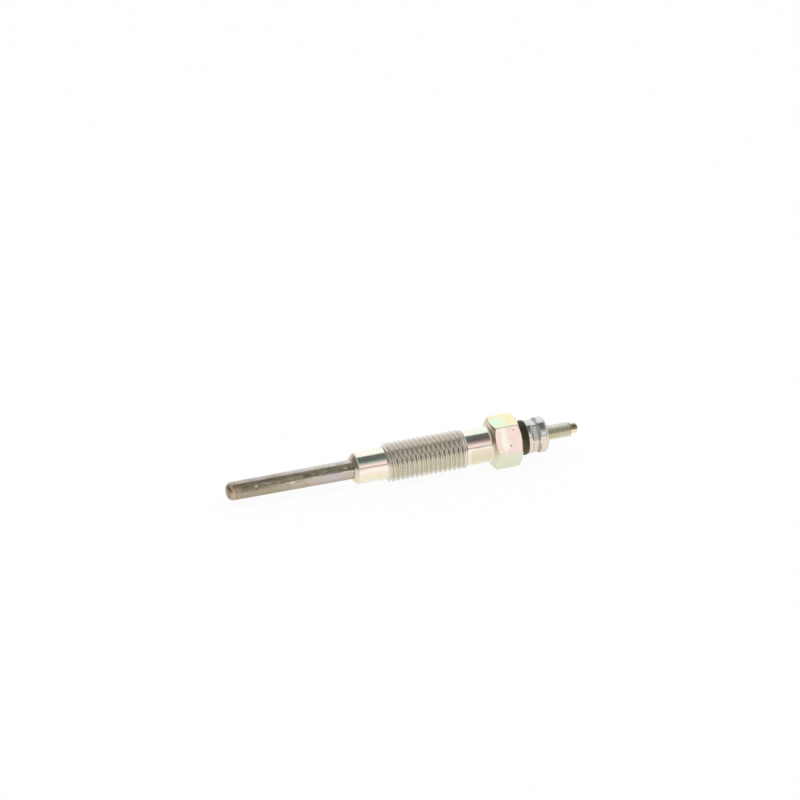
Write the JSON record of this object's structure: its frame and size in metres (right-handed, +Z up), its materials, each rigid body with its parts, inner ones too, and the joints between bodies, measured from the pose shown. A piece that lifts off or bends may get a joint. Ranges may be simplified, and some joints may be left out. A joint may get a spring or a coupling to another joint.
{
  "type": "diesel glow plug",
  "caption": "Screw-in diesel glow plug: slim heater tube with a rounded tip, conical seat, threaded shell with a hexagon, black insulating bush, crimped ring and threaded terminal stud.",
  "frame": {"origin": "on the floor, under the middle of the bounding box of the plug as it lies", "axes": "+X along the plug from the heater tip to the terminal stud, +Z up from the floor it lies on"},
  "size_m": [0.0936, 0.0138, 0.0122],
  "materials": {
    "zinc_plate": "steel with iridescent yellow zinc plating",
    "heat_alloy": "dull heat-resisting alloy with heat tints",
    "coil_wire": "drawn resistance wire",
    "oxide_powder": "packed magnesium oxide powder",
    "seal_rubber": "moulded sealing rubber",
    "stud_steel": "pale zinc-plated steel",
    "black_phenolic": "black moulded phenolic resin",
    "bright_steel": "bright plated steel"
  },
  "bodies": {
    "root": {"body_shell": "zinc_plate", "glow_tube": "heat_alloy", "heating_coil": "coil_wire", "control_coil": "coil_wire", "insulating_powder": "oxide_powder", "tube_seal": "seal_rubber", "terminal_stud": "stud_steel", "o_ring": "seal_rubber", "insulating_bush": "black_phenolic", "crimp_ring": "bright_steel"}
  },
  "joints": []
}
